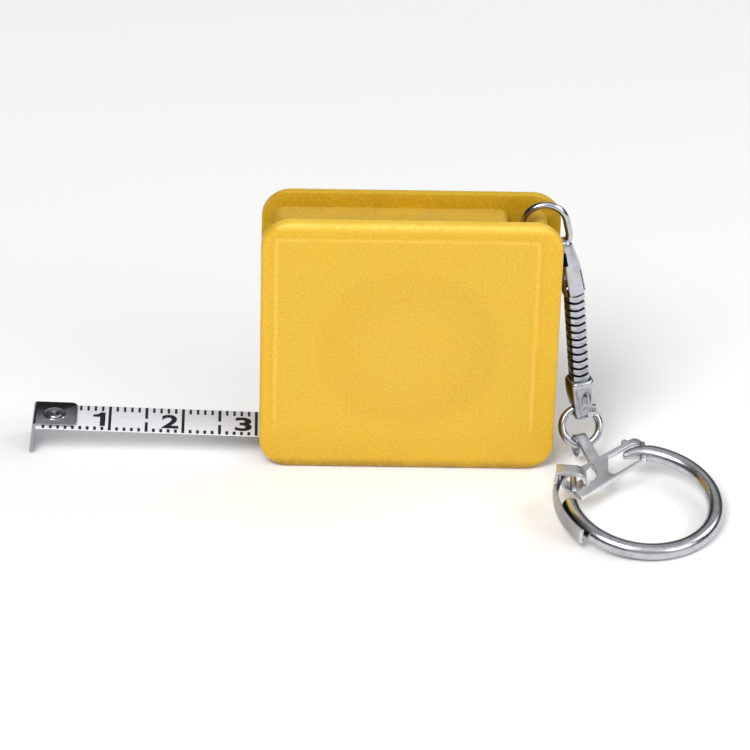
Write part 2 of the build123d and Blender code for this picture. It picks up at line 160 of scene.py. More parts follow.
def choose(kind, test):
    """Edit mode with the vertices, edges or faces that pass a test selected."""
    mesh = bpy.context.object.data
    bpy.ops.object.mode_set(mode="EDIT")
    bpy.ops.mesh.select_mode(type=kind)
    bpy.ops.mesh.select_all(action="DESELECT")
    bpy.ops.object.mode_set(mode="OBJECT")
    if kind == "VERT":
        for vertex in mesh.vertices:
            vertex.select = bool(test(vertex.co))
    elif kind == "EDGE":
        for edge in mesh.edges:
            edge.select = bool(test(*(mesh.vertices[i].co for i in edge.vertices)))
    else:
        for face in mesh.polygons:
            face.select = bool(test(face.center, face.normal))
    bpy.ops.object.mode_set(mode="EDIT")


def modify(kind, **settings):
    """Adds a modifier to the active piece and applies it."""
    bpy.ops.object.mode_set(mode="OBJECT")
    piece = bpy.context.object
    modifier = piece.modifiers.new(kind.title(), kind)
    for key, value in settings.items():
        setattr(modifier, key, value)
    bpy.ops.object.modifier_apply(modifier=modifier.name)


def soften(width, segments=2, angle=40):
    """Rounds the sharp edges of the active piece."""
    modify("BEVEL", width=width, segments=segments, limit_method="ANGLE", angle_limit=math.radians(angle),
           use_clamp_overlap=True, harden_normals=False)


def settle():
    """Merges doubled vertices and turns all faces outward."""
    choose_all()
    bpy.ops.mesh.remove_doubles(threshold=1e-4)
    bpy.ops.mesh.normals_make_consistent(inside=False)
    bpy.ops.object.mode_set(mode="OBJECT")


def thicken(sheet, edge):
    """Gives the active sheet its thickness and softened edges."""
    modify("SOLIDIFY", thickness=sheet, offset=0.0)
    soften(edge, 2, 50)
    settle()


def block(center, size):
    """A box, in millimetres, active and in object mode."""
    fresh()
    bpy.ops.mesh.primitive_cube_add(size=1, location=center, scale=size)
    place_in_mesh()
    return bpy.context.object


def rod(start, end, radius, sides=24):
    """A round bar between two points."""
    fresh()
    start, end = Vector(start), Vector(end)
    along = end - start
    bpy.ops.mesh.primitive_cylinder_add(
        vertices=sides, radius=radius, depth=along.length, location=(start + end) / 2,
        rotation=along.to_track_quat("Z", "Y").to_euler())
    place_in_mesh()
    return bpy.context.object


def dimple(center, radii):
    """A stretched ball, for cutting an oblong hollow."""
    fresh()
    bpy.ops.mesh.primitive_uv_sphere_add(segments=32, ring_count=20, radius=1, location=center, scale=radii)
    place_in_mesh()
    return bpy.context.object


def line(points):
    """A chain of vertices through points."""
    fresh()
    bpy.ops.mesh.primitive_plane_add(size=1, location=points[0])
    place_in_mesh()
    choose_all()
    bpy.ops.mesh.merge(type="CENTER")
    for a, b in zip(points, points[1:]):
        bpy.ops.mesh.extrude_region_move(TRANSFORM_OT_translate={"value": Vector(b) - Vector(a)})
    bpy.ops.object.mode_set(mode="OBJECT")
    return bpy.context.object


def sheet_strip(points, low, high, steps=1):
    """A sheet that follows points in the XZ plane, between two values of y."""
    line([(x, low, z) for x, z in points])
    choose_all()
    for _ in range(steps):
        bpy.ops.mesh.extrude_region_move(TRANSFORM_OT_translate={"value": (0, (high - low) / steps, 0)})
    bpy.ops.object.mode_set(mode="OBJECT")
    settle()
    return bpy.context.object


def turned(profile, start=0.0, sweep=math.tau, steps=48):
    """Spins a profile of (radius, height) about the z axis, from a start angle."""
    piece = line([(r * math.cos(start), r * math.sin(start), z) for r, z in profile])
    choose_all()
    bpy.ops.mesh.spin(steps=steps, angle=-sweep, center=(0, 0, 0), axis=(0, 0, 1))
    settle()
    return piece


def stacked(sections, corner, segments=5):
    """Rounded squares of given height, width and depth, one above the other, closed at both ends."""
    z, width, depth = sections[0]
    fresh()
    bpy.ops.mesh.primitive_plane_add(size=1, location=(0, 0, z))
    bpy.context.object.scale = (width, depth, 1)
    place_in_mesh()
    bpy.ops.object.mode_set(mode="EDIT")
    bpy.ops.mesh.select_mode(type="VERT")
    bpy.ops.mesh.select_all(action="SELECT")
    bpy.ops.mesh.bevel(offset=width * corner, segments=segments, affect="VERTICES")
    bpy.ops.mesh.select_mode(type="FACE")
    bpy.ops.mesh.select_all(action="SELECT")
    for (z0, w0, d0), (z1, w1, d1) in zip(sections, sections[1:]):
        bpy.ops.mesh.extrude_region_move(TRANSFORM_OT_translate={"value": (0, 0, z1 - z0)})
        bpy.ops.transform.resize(value=(w1 / w0, d1 / d0, 1), center_override=(0, 0, z1))
    settle()
    return bpy.context.object


def stamped(outlines, thickness, edge):
    """A flat plate with windows, from closed outlines, with softened edges."""
    curve = bpy.data.curves.new("outline", "CURVE")
    curve.dimensions, curve.fill_mode = "2D", "BOTH"
    for points in outlines:
        spline = curve.splines.new("POLY")
        spline.points.add(len(points) - 1)
        for point, (x, y) in zip(spline.points, points):
            point.co = (x, y, 0, 1)
        spline.use_cyclic_u = True
    curve.extrude, curve.bevel_depth, curve.bevel_resolution = thickness / 2 - edge, edge, 2
    curve.offset = -edge
    piece = bpy.data.objects.new("plate", curve)
    bpy.context.scene.collection.objects.link(piece)
    take(piece)
    bpy.ops.object.convert(target="MESH")
    settle()
    return bpy.context.object


def cut(piece, tool, operation="DIFFERENCE"):
    """Cuts a piece with a tool, which is used up."""
    take(piece)
    modify("BOOLEAN", operation=operation, object=tool, solver="EXACT")
    bpy.data.objects.remove(tool)


def joined(*pieces):
    """Several shapes as one piece."""
    fresh()
    for piece in pieces:
        piece.select_set(True)
    bpy.context.view_layer.objects.active = pieces[0]
    bpy.ops.object.join()
    return bpy.context.object


def finished(piece, name, place, body, finish, nodes=(), angle=38, painted_shade=None):
    """Puts a piece in its place, in metres, smooths it, paints it and lets it ride on its body; faces chosen by
    the shade test get a dark finish of painted shade.
    """
    take(piece)
    piece.name = piece.data.name = name
    # faces that get the dark finish of painted shade
    shaded_faces = [face.index for face in piece.data.polygons if painted_shade and painted_shade(face.center, face.normal)]
    piece.matrix_world = place @ piece.matrix_world
    place_in_mesh()
    bpy.ops.object.shade_smooth_by_angle(angle=math.radians(angle))
    piece.data.materials.clear()
    piece.data.materials.append(FINISH.get(finish))
    if shaded_faces:
        piece.data.materials.append(FINISH.get("painted_shade"))
        for index in shaded_faces:
            piece.data.polygons[index].material_index = 1
    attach(piece, body)
    if nodes:
        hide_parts(*nodes)


def arc(center, radius, start, end, steps):
    """Points on a circle in the XZ plane, angles in degrees."""
    cx, cz = center
    angles = [math.radians(start + (end - start) * i / steps) for i in range(steps + 1)]
    return [(cx + radius * math.cos(a), cz + radius * math.sin(a)) for a in angles]


# ---------------------------------------------------------------- shader recipes
class Socket:
    """A node's output that takes ordinary arithmetic."""

    def __init__(self, recipe, socket):
        self.recipe, self.socket = recipe, socket

    def math(self, operation, *others):
        """This value and up to two others through one Math node."""
        values = dict(enumerate((self, *others)))
        return self.recipe.node("ShaderNodeMath", {"operation": operation}, values)

    def __add__(self, other):
        return self.math("ADD", other)

    __radd__ = __add__

    def __mul__(self, other):
        return self.math("MULTIPLY", other)

    __rmul__ = __mul__

    def __sub__(self, other):
        return self.math("SUBTRACT", other)

    def __rsub__(self, other):
        return self.recipe.node("ShaderNodeMath", {"operation": "SUBTRACT"}, {0: other, 1: self})

    def __abs__(self):
        return self.math("ABSOLUTE")

    def step(self, low, high):
        """0 below low, 1 above high, smooth between; low may lie above high."""
        if low > high:
            return 1 - self.step(high, low)
        return self.recipe.node("ShaderNodeMapRange", {"interpolation_type": "SMOOTHSTEP"},
                                {"Value": self, "From Min": low, "From Max": high})


class Recipe:
    """One material, or the world, built from nodes."""

    def __init__(self, name, world=False):
        self.owner = (bpy.data.worlds if world else bpy.data.materials).new(name)
        self.owner.use_nodes = True
        self.tree = self.owner.node_tree
        self.tree.nodes.clear()

    def node(self, kind, settings=None, inputs=None, out=0):
        """A node of a type, with its settings, then the values or links of its sockets."""
        made = self.tree.nodes.new(kind)
        for key, value in (settings or {}).items():
            setattr(made, key, value)
        for key, value in (inputs or {}).items():
            if isinstance(value, Socket):
                self.tree.links.new(value.socket, made.inputs[key])
            else:
                made.inputs[key].default_value = value
        return Socket(self, made.outputs[out]) if len(made.outputs) else None

    def mix(self, factor, a, b):
        """Colour a turning into colour b."""
        return self.node("ShaderNodeMix", {"data_type": "RGBA"}, {0: factor, 6: a, 7: b}, out=2)

    def place(self, scale=1000.0):
        """Object coordinates, in millimetres unless scaled otherwise."""
        coords = self.node("ShaderNodeTexCoord", out="Object")
        return self.node("ShaderNodeVectorMath", {"operation": "SCALE"}, {0: coords, "Scale": scale})

    def parts(self, vector):
        """The three numbers of a vector."""
        split = self.node("ShaderNodeSeparateXYZ", inputs={0: vector})
        outputs = split.socket.node.outputs
        return [Socket(self, outputs[i]) for i in range(3)]

    def noise(self, vector, scale, detail=3.0, roughness=0.5):
        """Noise from 0 to 1."""
        return self.node("ShaderNodeTexNoise", None,
                         {"Vector": vector, "Scale": scale, "Detail": detail, "Roughness": roughness})

    def bump(self, height, distance, strength=1.0):
        """A surface normal from a height."""
        return self.node("ShaderNodeBump", None,
                         {"Height": height, "Distance": distance, "Strength": strength})

    def surface(self, **inputs):
        """The principled shader as the material's surface."""
        shader = self.node("ShaderNodeBsdfPrincipled", None,
                           {key.replace("_", " "): value for key, value in inputs.items()}, out="BSDF")
        self.node("ShaderNodeOutputMaterial", None, {"Surface": shader})
        return self.owner


def paint(red, green, blue):
    """A linear colour from 0-255 display values."""
    def linear(value):
        value /= 255
        return value / 12.92 if value <= 0.04045 else ((value + 0.055) / 1.055) ** 2.4
    return linear(red), linear(green), linear(blue), 1.0


# ---------------------------------------------------------------- sizes and colours
def size(name, text, value):
    """A length, in millimetres."""
    return FloatProperty(name=name, description=text + ", in millimetres", default=value)


def length(name, text, metres):
    """A length, in metres."""
    return FloatProperty(name=name, description=text, default=metres, unit="LENGTH")


def share(name, text, value):
    """One length over another."""
    return FloatProperty(name=name, description=text, default=value, subtype="FACTOR")


def lean(name, text, degrees):
    """An angle."""
    return FloatProperty(name=name, description=text, default=math.radians(degrees), unit="ROTATION")


def colour(name, text, *display):
    """A colour."""
    return FloatVectorProperty(name=name, description=text, default=paint(*display), size=4, subtype="COLOR",
                               min=0, max=1)


class CaseLook(bpy.types.PropertyGroup):
    """Colours of the frosted case and where its waist shows through, with the painted shade of the faces between
    the plates.
    """
    over_waist: colour("Over the waist", "Plate where the waist lies behind it", 221, 178, 40)
    free_rim: colour("Free rim", "Plate where nothing lies behind it", 223, 177, 26)
    waist_line: colour("Waist line", "Line of the waist's wall through the plate", 222, 164, 14)
    # painted shade: the darker colour of the plates' inner faces stands for the shade between the plates
    inner_face: colour("Inner face", "Faces between the plates", 186, 148, 4)
    waist: colour("Waist", "Wall between the plates", 196, 160, 62)
    waist_left: size("Waist left", "Waist's left wall from the middle", -18.2)
    waist_right: size("Waist right", "Waist's right wall from the middle", 17.0)
    waist_low: size("Waist low", "Waist's lower wall above the foot", 1.9)
    waist_high: size("Waist high", "Waist's upper wall above the foot", 36.3)
    spool_height: size("Spool height", "Spool's middle above the foot", 19.2)
    coil_radius: size("Coil radius", "Radius of the wound tape", 12.4)


class TapeLook(bpy.types.PropertyGroup):
    """Tape and its printed scale."""
    width: size("Width", "Width of the tape", 6.0)
    thickness: size("Thickness", "Thickness of the tape", 0.15)
    out: size("Out", "Zero of the scale from the case's left side", 30.45)
    stub: size("Stub", "Tape inside the case's left side", 5.5)
    rise: lean("Rise", "How the pulled tape climbs", 1.85)
    yaw: lean("Yaw", "How it comes forward", 0.4)
    mount_drop: length("Mount drop", "Hook face's middle below the tape", 0.002)
    ink_height: size("Ink height", "How far the print stands up", 0.012)
    tick: size("Tick", "Width of a millimetre mark", 0.33)
    bar: size("Bar", "Width of a centimetre line", 0.4)
    digit_width: size("Digit width", "Width of a number", 2.3)
    digit_height: size("Digit height", "Height of a number", 3.35)
    digit_gap: size("Digit gap", "Number's right side from its line", 0.62)
    digit_foot: size("Digit foot", "Number's foot from the tape's middle", -1.92)
    enamel: colour("Enamel", "Tape's colour", 243, 244, 248)
    ink: colour("Ink", "Print's colour", 22, 24, 34)


class HookLook(bpy.types.PropertyGroup):
    """End hook and rivet."""
    thickness: size("Thickness", "Hook's sheet", 0.45)
    width: size("Width", "Hook's width", 5.5)
    reach: size("Reach", "Length of the leaf on the tape", 5.95)
    drop: size("Drop", "Length of the blade", 5.0)
    blade_lean: lean("Blade lean", "Blade off the square", 5.0)
    rivet_setback: size("Rivet setback", "Rivet from the scale's zero", 2.45)
    flange: size("Flange", "Radius of the pressed ring round the rivet", 1.55)
    steel: colour("Steel", "Hook's polished steel", 168, 170, 176)


class ChainLook(bpy.types.PropertyGroup):
    """Wire loop, caps, snake chain and jump ring."""
    loop_wire: size("Loop wire", "Radius of the loop's wire", 0.495)
    loop_bend: size("Loop bend", "Centreline radius of the loop's bends", 2.85)
    loop_straight: size("Loop straight", "Straight between the bends", 1.75)
    loop_lean: lean("Loop lean", "Loop off the vertical", 13.2)
    side: length("Side", "Side of a square link", 0.00235)
    start_share: share("Start", "First socket above the cap's mouth, over the side", 0.1)
    ball_share: share("Ball", "Socket radius over the side", 0.81)
    gap: size("Gap", "Air between links", 0.28)
    cap_fit: size("Cap fit", "Air round the end links", 0.06)
    cap_wall: size("Cap wall", "Wall of the caps", 0.3)
    slot_height: size("Slot height", "Dark oblong eye above the upper cap's mouth", 5.9)
    crown: size("Crown", "Metal above the upper eye", 1.0)
    lip: size("Lip", "Metal below the lower eye", 1.25)
    lower_length: size("Lower length", "Lower cap from eye to mouth", 4.9)
    jump_wire: size("Jump wire", "Radius of the jump ring's wire", 0.55)
    jump_tail: size("Jump tail", "Straight end of the jump ring", 2.1)
    jump_open: IntProperty(name="Jump open", default=40,
                           description="Where the jump ring's other end lies, in degrees")
    metal: colour("Metal", "Bright plated metal", 196, 199, 205)


class RingLook(bpy.types.PropertyGroup):
    """Key ring, latch plate, strap and clasp."""
    radius: length("Radius", "Centreline of the key ring", 0.0099)
    wire: size("Wire", "Radius of the key ring's wire", 1.12)
    plate: size("Plate", "Thickness of the latch plate", 0.7)
    slope: share("Slope", "Rise over run of the plate's long edges", 0.88)
    pin: size("Pin", "Radius of the plate's round ends", 0.45)
    strap: size("Strap", "Thickness of the strap", 0.35)
    strap_width: size("Strap width", "Width of the strap", 1.6)
    strap_curl: size("Strap curl", "Inside radius of the strap's curl", 1.22)
    clasp: size("Clasp", "Sheet of the clasp", 0.45)
    clasp_curl: size("Clasp curl", "Inside radius of the clasp's head", 1.3)
    clasp_gap: size("Clasp gap", "Clasp's wall from the ring's wire", 0.62)


class StageLook(bpy.types.PropertyGroup):
    """Floor, lights and camera."""
    floor: colour("Floor", "Floor's colour", 250, 250, 250)
    camera_place: FloatVectorProperty(name="Camera", description="Camera's place", size=3, unit="LENGTH",
                                      default=(-0.01627, -0.4742, 0.3179))
    lens: FloatProperty(name="Lens", description="Focal length", default=199.5, unit="CAMERA")


# ---------------------------------------------------------------- finishes
def case_finish(look):
    """Frosted translucent yellow with the waist showing through; painted shade over the coil, the foot, the rear
    plate and the inner faces, painted highlights on the top edge, the coil's middle and the waist's edge.
    """
    r = Recipe("frosted_yellow")
    at = r.place()
    x, y, z = r.parts(at)
    half_x, mid_x = (look.waist_right - look.waist_left) / 2, (look.waist_right + look.waist_left) / 2
    half_z, mid_z = (look.waist_high - look.waist_low) / 2, (look.waist_high + look.waist_low) / 2
    over = (abs(x - mid_x) - half_x).math("MAXIMUM", abs(z - mid_z) - half_z)
    wander = r.noise(at, 0.35, 2.0) - 0.5
    over = over + wander * 0.35
    plate = r.mix(over.step(0.5, -0.9), tuple(look.free_rim), tuple(look.over_waist))
    sides = z.step(4.0, 10.0)
    plate = r.mix(abs(over - 0.35).step(0.4, 0.05) * sides * 0.35, plate, tuple(look.waist_line))
    # painted highlight: a light line just inside the waist's outline, where the waist wall's edge catches the
    # light
    plate = r.mix(abs(over + 0.25).step(0.4, 0.05) * sides * 0.32, plate, paint(250, 214, 100))
    # painted shade: a darker disc where the coil lies behind the plate
    from_spool = (x * x + (z - look.spool_height) * (z - look.spool_height)).math("SQRT")
    coil = from_spool.step(look.coil_radius + 1.0, look.coil_radius - 1.2)
    plate = r.mix(coil * 0.34, plate, paint(208, 162, 42))
    # painted highlight: lighter towards the spool's middle
    plate = r.mix(from_spool.step(look.coil_radius - 1.5, 3.0) * 0.12, plate, paint(246, 204, 90))
    # painted shade: darker towards the foot of the case, darkest in the bottom rows
    plate = r.mix(z.step(8.0, 0.6) * 0.45, plate, paint(204, 158, 12))
    plate = r.mix(z.step(1.8, 0.5) * 0.9, plate, paint(150, 112, 2))
    # painted highlight: the top edge lighter, as lit from above
    plate = r.mix(z.step(37.2, 38.1) * 0.55, plate, paint(255, 216, 96))
    # painted shade: the rear plate, behind the front one, made darker
    plate = r.mix(y.step(3.2, 3.42) * 0.6, plate, paint(184, 146, 8))
    between = abs(y).step(3.44, 3.36)
    flat = abs(y).step(3.33, 3.37)
    # the plates' inner faces get the darker colour, painted shade from lying between the plates
    inside = r.mix(flat, tuple(look.waist), tuple(look.inner_face))
    base = r.mix(between, plate, inside)
    mottle = r.noise(at, 0.5, 4.0, 0.6) - 0.5
    grain = r.noise(at, 2.6, 4.0, 0.75)
    base = r.mix(grain.step(0.46, 0.72) * 0.4, base, paint(246, 208, 96))
    base = r.mix(grain.step(0.48, 0.3) * 0.55, base, paint(200, 150, 14))
    base = r.mix(abs(mottle) * 0.9, base, paint(222, 172, 30))
    patch = r.noise(at, 0.16, 3.0, 0.6)
    base = r.mix(patch.step(0.45, 0.7) * 0.28, base, paint(226, 180, 22))
    return r.surface(
        Base_Color=base, Roughness=0.34 + grain * 0.16, IOR=1.49, Subsurface_Weight=0.28,
        Subsurface_Radius=(1.0, 0.62, 0.14), Subsurface_Scale=0.0022,
        Normal=r.bump(grain + mottle * 0.6, 0.00002, 0.5))


def tape_finish(look):
    """Satin enamel on steel, with faint handling smudges."""
    r = Recipe("satin_tape")
    at = r.place()
    streak = r.node("ShaderNodeMapping", {"vector_type": "POINT"}, {"Vector": at, "Scale": (0.6, 4.0, 4.0)})
    cloud = r.noise(streak, 0.8, 4.0, 0.65)
    speck = r.noise(at, 11.0, 2.0)
    base = r.mix(cloud.step(0.35, 0.75) * 0.35, tuple(look.enamel), paint(216, 219, 227))
    return r.surface(Base_Color=base, Metallic=0.12, Roughness=0.3 + speck * 0.18,
                     Normal=r.bump(speck, 0.000015, 0.35))


def ink_finish(look):
    """Printed ink, a little uneven."""
    r = Recipe("scale_ink")
    at = r.place()
    wear = r.noise(at, 6.0, 4.0, 0.7)
    base = r.mix(wear.step(0.55, 0.8) * 0.5, tuple(look.ink), paint(62, 65, 78))
    return r.surface(Base_Color=base, Roughness=0.42 + wear * 0.2, Normal=r.bump(wear, 0.000008, 0.4))


def polished(name, tint, dark, roughness, scratch, side=0.0):
    """Polished metal with fine scratches, cloudy gloss and a darker bloom, with painted shade on its left sides,
    which face away from the light.
    """
    r = Recipe(name)
    at = r.place()
    cloud = r.noise(at, 0.7, 3.0, 0.6)
    brushed = r.node("ShaderNodeMapping", {"vector_type": "POINT"}, {"Vector": at, "Scale": (9.0, 1.2, 9.0)})
    fine = r.noise(brushed, 1.6, 5.0, 0.75)
    pits = r.noise(at, 5.0, 5.0, 0.75).step(0.66, 0.78)
    base = r.mix(cloud.step(0.4, 0.8) * 0.45, tint, dark)
    base = r.mix(pits * 0.3, base, dark)
    # painted shade: faces turned to the left, away from the light, are darkened by the given share
    if side:
        across = r.parts(r.node("ShaderNodeTexCoord", out="Normal"))[0]
        base = r.mix(across.step(-0.5, -0.85) * side, base, paint(30, 32, 38))
    return r.surface(Base_Color=base, Metallic=1.0, Roughness=roughness + fine * 0.1 + cloud * 0.05,
                     Normal=r.bump(fine + pits * 0.4, scratch, 0.35))


def inner_plastic():
    """Off-white moulded plastic of the drum."""
    r = Recipe("drum_plastic")
    at = r.place()
    grain = r.noise(at, 3.0, 4.0, 0.6)
    base = r.mix(grain.step(0.3, 0.7), paint(224, 220, 208), paint(206, 200, 186))
    return r.surface(Base_Color=base, Roughness=0.45 + grain * 0.15, Normal=r.bump(grain, 0.00001, 0.4))


class Finishes:
    """Every finish of the object, each made once."""

    def __init__(self):
        self.made = {}

    def get(self, name):
        """The finish of that name, made when first asked for."""
        scene = bpy.context.scene
        chain_metal = tuple(scene.chain_look.metal)
        # name, tint, dark bloom, roughness, depth of the scratches, painted shade on the left sides
        metals = {
            "hook": ("hook_steel", tuple(scene.hook_look.steel), paint(110, 112, 118), 0.13, 0.00001),
            "chain": ("chain_plating", chain_metal, paint(128, 131, 138), 0.16, 0.00001, 0.85),
            "wire": ("wire_plating", chain_metal, paint(140, 143, 150), 0.1, 0.000008, 0.45),
            "ring": ("ring_plating", paint(196, 198, 203), paint(132, 135, 142), 0.15, 0.00001),
            "sheet": ("stamped_plating", paint(226, 228, 232), paint(176, 179, 186), 0.27, 0.000012, 0.55),
            # painted shade: a dark finish put on faces in hollows and between parts, where shade falls
            "painted_shade": ("painted_recess_shade", paint(46, 48, 54), paint(24, 25, 30), 0.42, 0.00001),
            "steel": ("spring_steel", paint(150, 150, 152), paint(96, 96, 100), 0.3, 0.00001),
        }
        others = {
            "case": lambda: case_finish(scene.case_look),
            "tape": lambda: tape_finish(scene.tape_look),
            "ink": lambda: ink_finish(scene.tape_look),
            "drum": inner_plastic,
        }
        if name not in self.made:
            self.made[name] = polished(*metals[name]) if name in metals else others[name]()
        return self.made[name]


FINISH = Finishes()


def paint_node(node, finish):
    """Gives a carried-over solid its finish."""
    mesh = frame["nodes"][node].data
    mesh.materials.clear()
    mesh.materials.append(FINISH.get(finish))


# ---------------------------------------------------------------- operators
class TAPEMEASURE_OT_case(bpy.types.Operator):
    """Paint the two shells and what lies between them"""
    bl_idname = "tapemeasure.case"
    bl_label = "Case and spool"

    def execute(self, context):
        for node in ("front_shell", "rear_shell"):
            paint_node(node, "case")
        for node, finish in (("arbor", "steel"), ("mainspring", "steel"), ("spool_drum", "drum"),
                             ("tape_coil", "tape"), ("tape_run", "tape")):
            paint_node(node, finish)
        return {"FINISHED"}


def numeral_one(tape):
    """The number 1 with a flag at its head."""
    stem, flag, centimetre, edge = 0.72, 0.95, 10, 0.001
    right = centimetre - tape.digit_gap
    left, head, foot = right - stem, tape.digit_foot + tape.digit_height, tape.digit_foot
    outline = [(left, foot), (right, foot), (right, head), (left + 0.1, head), (left - 0.25, head - 0.42),
               (left - flag, head - 0.62), (left - flag, head - 1.12), (left, head - 1.12)]
    piece = stamped([outline], tape.ink_height, edge)
    piece.location.z = tape.ink_height / 2
    return piece


class TAPEMEASURE_OT_tape(bpy.types.Operator):
    """Add the pulled tape and its printed scale"""
    bl_idname = "tapemeasure.tape"
    bl_label = "Tape and scale"

    def execute(self, context):
        tape = context.scene.tape_look
        whole = tape.out + tape.stub
        strip = block((whole / 2, 0, -tape.thickness / 2), (whole, tape.width, tape.thickness))
        soften(0.04, 2)
        finished(strip, "tape_strip", tape_place(tape), "tape", "tape", ("tape_blade",))
        marks = []
        half = tape.width / 2

        def mark(at, low, high, width):
            """One printed stroke across the tape."""
            middle = (at, (low + high) / 2, tape.ink_height / 2)
            marks.append(block(middle, (width, high - low, tape.ink_height)))

        for millimetre in range(1, int(whole)):
            if millimetre % 10 == 0:
                mark(millimetre, -half + 0.05, half - 0.05, tape.bar)
            elif millimetre % 5 == 0:
                mark(millimetre, 0.25, half - 0.05, tape.bar)
                mark(millimetre, -half + 0.05, -0.62, tape.bar)
            else:
                mark(millimetre, half - 1.25, half - 0.08, tape.tick)
                mark(millimetre, -half + 0.06, -half + 0.88, tape.tick + 0.06)
        marks.append(numeral_one(tape))
        for digit in (2, 3):
            fresh()
            bpy.ops.object.text_add()
            text = context.object
            text.data.body = str(digit)
            text.data.offset = 0.03
            text.data.extrude = tape.ink_height / 2
            bpy.ops.object.convert(target="MESH")
            shape = context.object
            xs = [v.co.x for v in shape.data.vertices]
            ys = [v.co.y for v in shape.data.vertices]
            grow = (tape.digit_width / (max(xs) - min(xs)), tape.digit_height / (max(ys) - min(ys)), 1)
            shape.scale = grow
            shape.location = (10 * digit - tape.digit_gap - tape.digit_width - min(xs) * grow[0],
                              tape.digit_foot - min(ys) * grow[1], tape.ink_height / 2)
            place_in_mesh()
            marks.append(shape)
        finished(joined(*marks), "tape_scale", tape_place(tape), "tape", "ink")
        return {"FINISHED"}


class TAPEMEASURE_OT_hook(bpy.types.Operator):
    """Add the bent end hook and its rivet"""
    bl_idname = "tapemeasure.hook"
    bl_label = "End hook and rivet"

    def execute(self, context):
        tape, hook = context.scene.tape_look, context.scene.hook_look
        t = hook.thickness
        bend, leaf_corner, blade_corner = 0.28, 0.8, 0.7
        high, outer = t / 2, -t / 2
        low_x = outer - math.sin(hook.blade_lean) * (hook.drop - t / 2)
        low_z = high - math.cos(hook.blade_lean) * (hook.drop - t / 2)
        inner_end = -t + hook.reach
        back = (tape.width - hook.width) / 2
        y0, y1 = -hook.width / 2 + back, hook.width / 2 + back
        piece = sheet_strip([(inner_end, high), (outer, high), (low_x, low_z)], y0, y1)
        choose("EDGE", lambda a, b: max(abs(a.x - outer), abs(b.x - outer), abs(a.z - high)) < NEAR)
        bpy.ops.mesh.bevel(offset=bend, segments=6, affect="EDGES")
        choose("VERT", lambda p: p.x > inner_end - NEAR)
        bpy.ops.mesh.bevel(offset=leaf_corner, segments=6, affect="VERTICES")
        choose("VERT", lambda p: p.z < low_z + NEAR)
        bpy.ops.mesh.bevel(offset=blade_corner, segments=6, affect="VERTICES")
        thicken(t, 0.07)
        finished(piece, "hook_sheet", tape_place(tape), "tape", "hook", ("end_hook",))
        head = turned([(0.0, t - 0.02), (0.22, t + 0.0), (0.42, t + 0.1), (0.6, t + 0.2), (0.82, t + 0.22),
                       (0.98, t + 0.16), (1.06, t + 0.05), (1.16, t + 0.03), (1.3, t + 0.1), (1.45, t + 0.1),
                       (hook.flange, t + 0.02), (hook.flange, t - 0.1)])
        under = -tape.thickness
        stem = turned([(0.0, under - 0.22), (0.9, under - 0.22), (1.1, under - 0.14), (1.15, under),
                       (0.6, under), (0.6, t - 0.1), (0.0, t - 0.1)])
        for part in (head, stem):
            part.location = (hook.rivet_setback, 0, 0)
        rivet = joined(head, stem)
        finished(rivet, "hook_rivet_head", tape_place(tape), "tape", "hook",
                 ("hook_rivet",))
        return {"FINISHED"}


class TAPEMEASURE_OT_loop(bpy.types.Operator):
    """Add the wire loop round the corner post"""
    bl_idname = "tapemeasure.loop"
    bl_label = "Wire loop"

    def execute(self, context):
        chain = context.scene.chain_look
        tangent = joint_axis("cap_swing")
        outward = Vector((tangent.z, 0, -tangent.x))
        foot = joint_at("cap_swing") - outward * chain.loop_bend * MM
        down = Vector((math.sin(chain.loop_lean), 0, -math.cos(chain.loop_lean)))
        top = foot - down * chain.loop_straight * MM
        fresh()
        bpy.ops.mesh.primitive_torus_add(major_segments=72, minor_segments=20, major_radius=chain.loop_bend,
                                         minor_radius=chain.loop_wire)
        wire = context.object
        choose("VERT", lambda p: p.y < -NEAR)
        bpy.ops.transform.translate(value=(0, -chain.loop_straight, 0))
        across = Vector((math.cos(chain.loop_lean), 0, math.sin(chain.loop_lean)))
        finished(wire, "loop_wire", basis(top, across, -down), "loop", "wire",
                 ("wire_loop",), 60)
        return {"FINISHED"}


